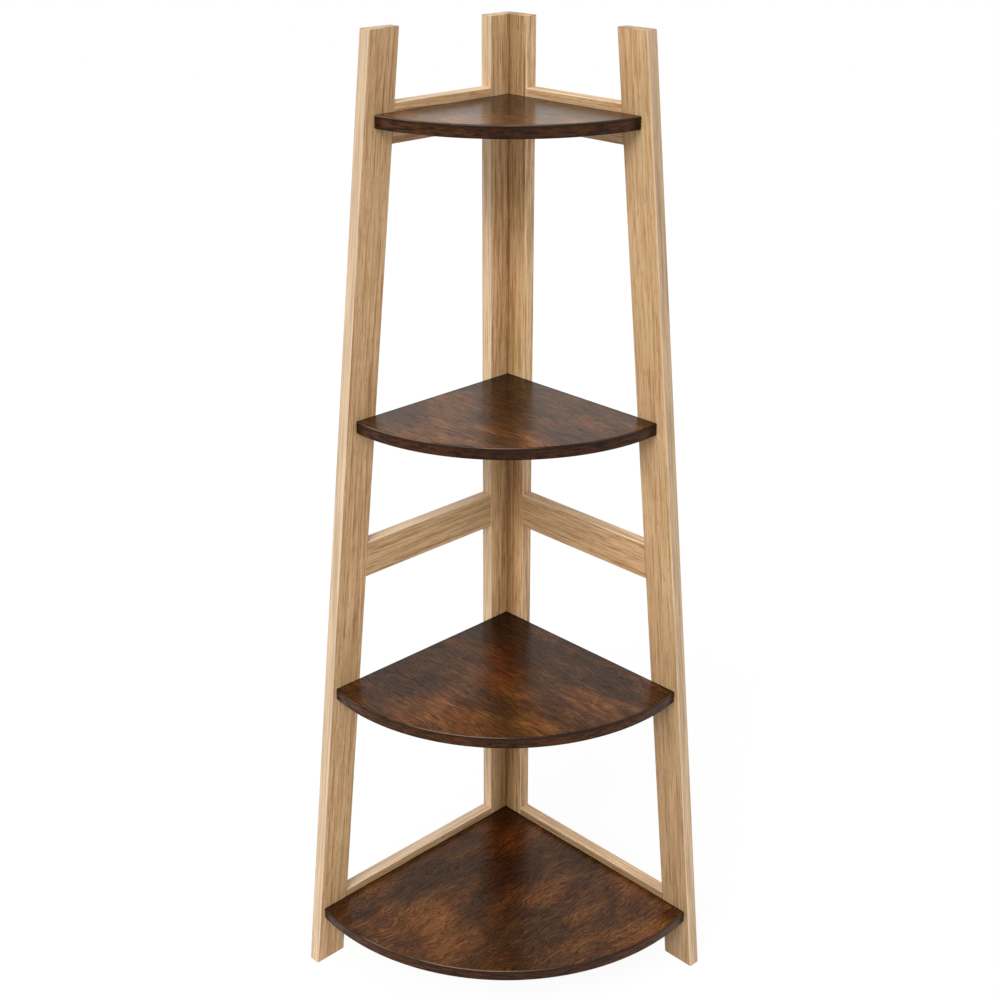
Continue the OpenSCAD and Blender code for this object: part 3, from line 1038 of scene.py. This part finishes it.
# A pale line along the front's upper edge: partly wear, partly painted highlight
WEAR_AND_HIGHLIGHT_BROWN = (0.25, 0.145, 0.085, 1)


def curled(tree, place):
    """A shelf's grain swept into large and small curls, as strong as the shelf's own curl."""
    curl = read(tree, "curl", number=True)
    swept = place
    for rates, reach in (((22, 22, 12), 0.050), ((60, 60, 36), 0.012)):
        swept = swayed(tree, swept, place, rates, by_grain(tree, times(tree, curl, reach), 0.0))
    return swept


def brown_warmth(tree, board, place, swept):
    """How warm the brown is: broad clouds and smaller patches, and the shelf's own spots, whose
    rims drift."""
    clouds = noise(tree, place, (8, 8, 6))
    patches = noise(tree, swept, (24, 24, 14))
    warmth = sums(tree, "MULTIPLY_ADD", patches, 0.40, -0.08)
    warmth = sums(tree, "MULTIPLY_ADD", clouds, 0.58, warmth)
    drifted = swayed(tree, board, place, (20, 20, 14), (0.10, 0.0, 0.10), detail=3)
    for kind, weight in SPOT_WEIGHTS.items():
        for number in range(SPOT_COUNT):
            spot = {"Place": drifted, "Spot": read(tree, f"{kind}_spot_{number}")}
            share = use(tree, soft_spot, spot)["Share"]
            warmth = sums(tree, "MULTIPLY_ADD", share, weight, warmth)
    return warmth


def brown_grain(tree, place, swept):
    """The shelves' grain: strokes and finer threads, how light they and the dark furrows between
    them leave the wood, and pale lines."""
    fine = vectors(tree, "MULTIPLY", swept, read(tree, "fineness", number=True))
    aside = vectors(tree, "ADD", fine, (3.1, 0.0, 1.7))
    strokes = fibres_at(tree, fine, 420.0, 22.0)
    threads = fibres_at(tree, fine, 720.0, 34.0, 2.0)
    pale_lines = lines_at(tree, fine, 190.0, 10.0, 0.085)
    dark_lines = lines_at(tree, aside, 170.0, 8.0, 0.085)
    rift = noise(tree, place, (60, 60, 26))
    furrow = times(tree, dark_lines, eased(tree, rift, 0.36, 0.66, 0.85, 0.40))
    level = times(
        tree,
        eased(tree, strokes, 0.34, 0.66, 0.72, 1.28),
        eased(tree, threads, 0.34, 0.66, 0.60, 1.40),
        eased(tree, furrow, 0.0, 1.0, 1.0, 0.68),
    )
    pale = times(tree, pale_lines, eased(tree, rift, 0.36, 0.62, 0.15, 1.0))
    return strokes, threads, level, pale


def brown_painted_light_and_shade(tree, colour, edges, near_side):
    """Painted light and shade: a darker corner, darker straight sides and tips, a top that lightens
    towards its front, and a darker, redder middle near the corner."""
    # Painted shade that darkens and reddens the middle near the corner
    off_middle = sums(tree, "ABSOLUTE", edges["To left"])
    middle = times(
        tree,
        eased(tree, off_middle, 0.015, 0.090, 1.0, 0.0),
        eased(tree, edges["Out"], 0.42, 0.85, 1.0, 0.0),
    )
    colour = mixed(tree, middle, colour, mixed(tree, 1.0, colour, MIDDLE_SHADE_TINT, "MULTIPLY"))
    # Painted shade in the corner, along the straight sides and at the tips, and painted light
    # growing towards the front
    from_tip = sums(tree, "MAXIMUM", edges["From side"], edges["From front"])
    shade = times(
        tree,
        eased(tree, edges["From corner"], 0.01, 0.12, read(tree, "corner", number=True), 1.0),
        eased(tree, near_side, 0.0, 1.0, 1.0, 0.45),
        eased(tree, edges["Out"], 0.20, 0.95, 0.88, 1.18),
        eased(tree, from_tip, 0.004, 0.038, 0.62, 1.0),
    )
    return shaded(tree, colour, shade)


def brown_front(tree, colour, place, edges, on_front):
    """A darker mottled front, lit by its painted light and darkened towards the tips by painted
    shade, with uneven dark rims under its upper edge and over its lower one.
    """
    mottle = noise(tree, place, (50, 300, 50), detail=4, roughness=0.65)
    front = mixed(tree, eased(tree, mottle, 0.34, 0.66), FRONT_DARK, FRONT_LIGHT)
    # The front's painted light, then painted shade towards the tips
    front = shaded(tree, front, read(tree, "front_painted_light", number=True))
    front = shaded(tree, front, eased(tree, edges["From side"], 0.0, 0.028, 0.40, 1.0))
    colour = mixed(tree, times(tree, on_front, 0.90), colour, front)
    uneven = sums(tree, "SUBTRACT", mottle, 0.5)
    height = sums(tree, "MULTIPLY_ADD", uneven, 0.012, edges["Height"])
    upper_rim = eased(tree, height, 0.0042, 0.0068, 0.0, 0.80)
    lower_rim = eased(tree, height, -0.0080, -0.0055, 0.55, 0.0)
    rims = times(tree, sums(tree, "MAXIMUM", upper_rim, lower_rim), on_front)
    return mixed(tree, rims, colour, RIM_BROWN)


def wear_and_highlight_line(tree, colour, place, edges):
    """A pale broken line along the front's upper edge, partly wear and partly a painted highlight,
    fainter towards the right.
    """
    breaks = noise(tree, place, (9, 9, 9), detail=3)
    wear_and_highlight = times(
        tree,
        eased(tree, edges["From front edge"], 0.0007, 0.0020, 1.0, 0.0),
        eased(tree, edges["Height"], 0.0, 0.003),
        eased(tree, breaks, 0.40, 0.54, 0.05, 0.72),
        eased(tree, edges["To left"], -0.15, 0.06, 0.28, 1.0),
    )
    return mixed(tree, wear_and_highlight, colour, WEAR_AND_HIGHLIGHT_BROWN)


def rustic_brown():
    """Semi-gloss rustic brown: soft fields of grey-brown, rust and near black, fine wavy streaks
    along the grain, corners darkened by painted shade, darker fronts, and a pale line along the
    front's edge that is partly wear and partly a painted highlight."""
    finish, tree, shader = new_finish("rustic_brown")
    board = read(tree, "board_place")
    place = vectors(tree, "ADD", board, read(tree, "log_shift"))
    swept = curled(tree, place)
    strokes, threads, level, pale = brown_grain(tree, place, swept)
    warmth = brown_warmth(tree, board, place, swept)
    heat = eased(tree, warmth, 0.29, 0.65)
    light = times(tree, pale, eased(tree, heat, 0.0, 1.0, 0.20, 0.58))
    blots = noise(tree, swept, (18, 18, 13))
    hue = noise(tree, swept, (70, 70, 40), colour=True)
    colour = mixed(tree, heat, GREY_BROWN, RUST_BROWN)
    colour = mixed(tree, eased(tree, warmth, 0.60, 0.84), colour, WARM_BROWN)
    colour = mixed(tree, eased(tree, blots, 0.54, 0.72, 0.0, 0.18), colour, BLOT_BROWN)
    colour = mixed(tree, light, shaded(tree, colour, level), PALE_LINE_BROWN)
    colour = mixed(tree, 0.20, colour, hue, "OVERLAY")

    edges = use(tree, shelf_edges, {
        "Front place": read(tree, "front_place"),
        "Side place": read(tree, "side_place"),
        "Front radius": read(tree, "front_radius", number=True),
        "Front sum": read(tree, "front_sum", number=True),
    })
    # Near the straight sides: painted shade in the colour and a rougher finish
    near_side = eased(tree, edges["From side edge"], 0.0, 0.008, 1.0, 0.0)
    on_front = eased(tree, edges["From front"], 0.0005, 0.0025, 1.0, 0.0)
    colour = brown_painted_light_and_shade(tree, colour, edges, near_side)
    colour = brown_front(tree, colour, place, edges, on_front)
    colour = wear_and_highlight_line(tree, colour, place, edges)

    roughness = eased(tree, strokes, 0.3, 0.7, 0.23, 0.33)
    roughness = sums(tree, "MULTIPLY_ADD", near_side, 0.15, roughness)
    roughness = sums(tree, "SUBTRACT", roughness, read(tree, "gloss", number=True))
    lacquer = sums(tree, "ADD", times(tree, strokes, 0.5), times(tree, threads, 0.5))
    lacquer = eased(tree, lacquer, 0.36, 0.62, 0.02, 0.31)
    lacquer = times(tree, lacquer, eased(tree, on_front, 0.0, 1.0, 1.0, 0.5))
    feed(tree, shader, {
        "Base Color": colour, "Roughness": roughness, "Specular IOR Level": 0.10,
        "Coat Weight": lacquer, "Coat Roughness": 0.21,
    })
    height = sums(tree, "ADD", times(tree, strokes, 0.5), light)
    relief(tree, shader, height, strength=0.25, distance=0.00025)
    return finish


# The colours of raw beech
PALE_BEECH = (0.74, 0.55, 0.36, 1)
DARK_BEECH = (0.60, 0.40, 0.23, 1)
BEECH_FLECKS = (0.36, 0.19, 0.09, 1)


def raw_beech(side):
    """Unfinished beech: fine fibres along the dowel with short dark flecks."""
    finish, tree, shader = new_finish(f"raw_beech_{side}")
    turn = (0, math.radians(90), 0) if side == "right" else (math.radians(90), 0, 0)
    place = add(tree, "ShaderNodeTexCoord").outputs["Object"]
    place = add(tree, "ShaderNodeMapping", {"Vector": place, "Rotation": turn}).outputs[0]
    fine = fibres_at(tree, place, 1400.0, 60.0)
    flecks = fibres_at(tree, place, 900.0, 240.0, 1.0)
    colour = mixed(tree, eased(tree, fine, 0.3, 0.7), PALE_BEECH, DARK_BEECH)
    colour = mixed(tree, eased(tree, flecks, 0.62, 0.7, 0.0, 0.5), colour, BEECH_FLECKS)
    feed(tree, shader, {
        "Base Color": colour, "Roughness": eased(tree, fine, 0.3, 0.7, 0.55, 0.70),
    })
    relief(tree, shader, fine, strength=0.2, distance=0.0001)
    return finish


# The colours of zinc plating
BLUE_ZINC = (0.54, 0.55, 0.57, 1)
YELLOW_ZINC = (0.66, 0.65, 0.60, 1)


def zinc_plated_steel():
    """Bright zinc: cloudy plating with fine tool marks."""
    finish, tree, shader = new_finish("zinc_plated_steel")
    place = add(tree, "ShaderNodeTexCoord").outputs["Object"]
    cloud = noise(tree, place, (260, 260, 260))
    marks = noise(tree, place, (900, 900, 3600))
    feed(tree, shader, {
        "Base Color": mixed(tree, eased(tree, cloud, 0.35, 0.65), BLUE_ZINC, YELLOW_ZINC),
        "Roughness": eased(tree, marks, 0.3, 0.7, 0.24, 0.42),
        "Metallic": 1.0,
    })
    relief(tree, shader, marks, strength=0.15, distance=0.00005)
    return finish


# The object

oak = light_oak()
brown = rustic_brown()


def dress(piece, finish):
    """Gives a piece one finish."""
    piece.data.materials.clear()
    piece.data.materials.append(finish)


def show(piece, node, finish):
    """Puts a finished piece in the place of its CAD node."""
    dress(piece, finish)
    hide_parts(node)
    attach(piece, "root")


for side in SIDES:
    show(post_board(side), f"{side}_back_post", oak)
    show(leg_board(side), f"{side}_front_leg", oak)
    for name in RAILS:
        show(rail_board(side, name), f"{side}_{name}", oak)
for shelf in SHELVES:
    show(shelf_panel(shelf), shelf, brown)

beech = {side: raw_beech(side) for side in SIDES}
steel = zinc_plated_steel()
for name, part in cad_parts.items():
    if name.endswith("_dowels"):
        dress(part, beech[name.split("_")[0]])
    elif name.endswith(("_bolts", "_nuts")):
        dress(part, steel)


# The studio

FLOOR_HALF = 6.0
FLOOR_GREY = (0.72, 0.72, 0.72, 1)
FLOOR_SHADOW_SHARE = 0.12
FLOOR_GLOW = 1.06
WORLD_LEVEL = 0.44
WHITE = (1, 1, 1, 1)
REFLECTED_WHITE = (1.0, 0.94, 0.88, 1)


def studio_floor():
    """A pale floor that shows white where it is lit and keeps a soft shadow. It can be seen
    through from below."""
    ring = np.array([(-1, -1), (1, -1), (1, 1), (-1, 1)]) * FLOOR_HALF
    mesh = bpy.data.meshes.new("studio_floor")
    mesh.from_pydata([(x, y, 0.0) for x, y in ring], [], [(0, 1, 2, 3)])
    floor = bpy.data.objects.new("studio_floor", mesh)
    bpy.context.scene.collection.objects.link(floor)
    finish = bpy.data.materials.new("pale_floor")
    finish.use_nodes = True
    tree = finish.node_tree
    tree.nodes.clear()
    ray = add(tree, "ShaderNodeLightPath").outputs
    seen = sums(tree, "MAXIMUM", ray["Is Camera Ray"], ray["Is Glossy Ray"])
    matt = add(tree, "ShaderNodeBsdfDiffuse", {"Color": FLOOR_GREY}).outputs[0]
    glow = {"Color": WHITE, "Strength": FLOOR_GLOW}
    white = add(tree, "ShaderNodeEmission", glow).outputs[0]
    share = times(tree, seen, 1 - FLOOR_SHADOW_SHARE)
    lit = add(tree, "ShaderNodeMixShader", {0: share, 1: matt, 2: white}).outputs[0]
    clear = add(tree, "ShaderNodeBsdfTransparent").outputs[0]
    below = add(tree, "ShaderNodeNewGeometry").outputs["Backfacing"]
    both = add(tree, "ShaderNodeMixShader", {0: below, 1: lit, 2: clear}).outputs[0]
    add(tree, "ShaderNodeOutputMaterial", {"Surface": both})
    mesh.materials.append(finish)
    floor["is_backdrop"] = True


def studio_world():
    """White where it is seen straight, a warm white in reflections, and a plain level of light
    elsewhere."""
    world = bpy.data.worlds.new("studio_world")
    bpy.context.scene.world = world
    world.use_nodes = True
    tree = world.node_tree
    ray = add(tree, "ShaderNodeLightPath").outputs
    seen = sums(tree, "MAXIMUM", ray["Is Camera Ray"], ray["Is Glossy Ray"])
    seen = sums(tree, "MAXIMUM", seen, ray["Is Transmission Ray"])
    feed(tree, tree.nodes["Background"], {
        "Color": mixed(tree, ray["Is Glossy Ray"], WHITE, REFLECTED_WHITE),
        "Strength": eased(tree, seen, 0.0, 1.0, WORLD_LEVEL, 1.0),
    })


def soft_sun(name, towards, strength, spread):
    """A distant soft lamp: towards is the direction from the object to it, and spread is how many
    degrees wide it looks."""
    lamp = bpy.data.lights.new(name, "SUN")
    lamp.energy = strength
    lamp.angle = math.radians(spread)
    sun = bpy.data.objects.new(name, lamp)
    x, y, z = towards
    sun.rotation_euler = (math.atan2(math.hypot(x, y), z), 0, math.atan2(x, -y))
    bpy.context.scene.collection.objects.link(sun)


# The camera stands where the photograph was taken from: its place in metres, its heading from +X
# towards +Y, its dip below level and its roll in degrees, its lens and its sensor in millimetres
CAMERA_PLACE = (1.3867, -1.3665, 1.6491)
CAMERA_HEADING = 135.65
CAMERA_DIP = 23.79
CAMERA_ROLL = 0.12
CAMERA_LENS = 55.90
SENSOR_WIDTH = 36.0


def studio_camera():
    """A camera turned to its heading, then down by its dip, then rolled about its own axis."""
    lens = bpy.data.cameras.new("photo_camera")
    lens.sensor_width = SENSOR_WIDTH
    lens.lens = CAMERA_LENS
    camera = bpy.data.objects.new("photo_camera", lens)
    bpy.context.scene.collection.objects.link(camera)
    turn = Matrix.Rotation(math.radians(CAMERA_HEADING - 90), 4, "Z")
    tilt = Matrix.Rotation(math.radians(90 - CAMERA_DIP), 4, "X")
    roll = Matrix.Rotation(math.radians(CAMERA_ROLL), 4, "Z")
    camera.matrix_world = Matrix.Translation(CAMERA_PLACE) @ turn @ tilt @ roll
    bpy.context.scene.camera = camera


studio_floor()
studio_world()
soft_sun("key_lamp", towards=(0.28, -0.70, 0.66), strength=2.35, spread=36)
soft_sun("fill_lamp", towards=(0.85, -0.20, 0.35), strength=0.35, spread=60)
studio_camera()
bpy.context.scene.view_settings.view_transform = "Standard"

boxes = {"cad": cad_box, "visual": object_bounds()}
{name: [list(low), list(high)] for name, (low, high) in boxes.items()}
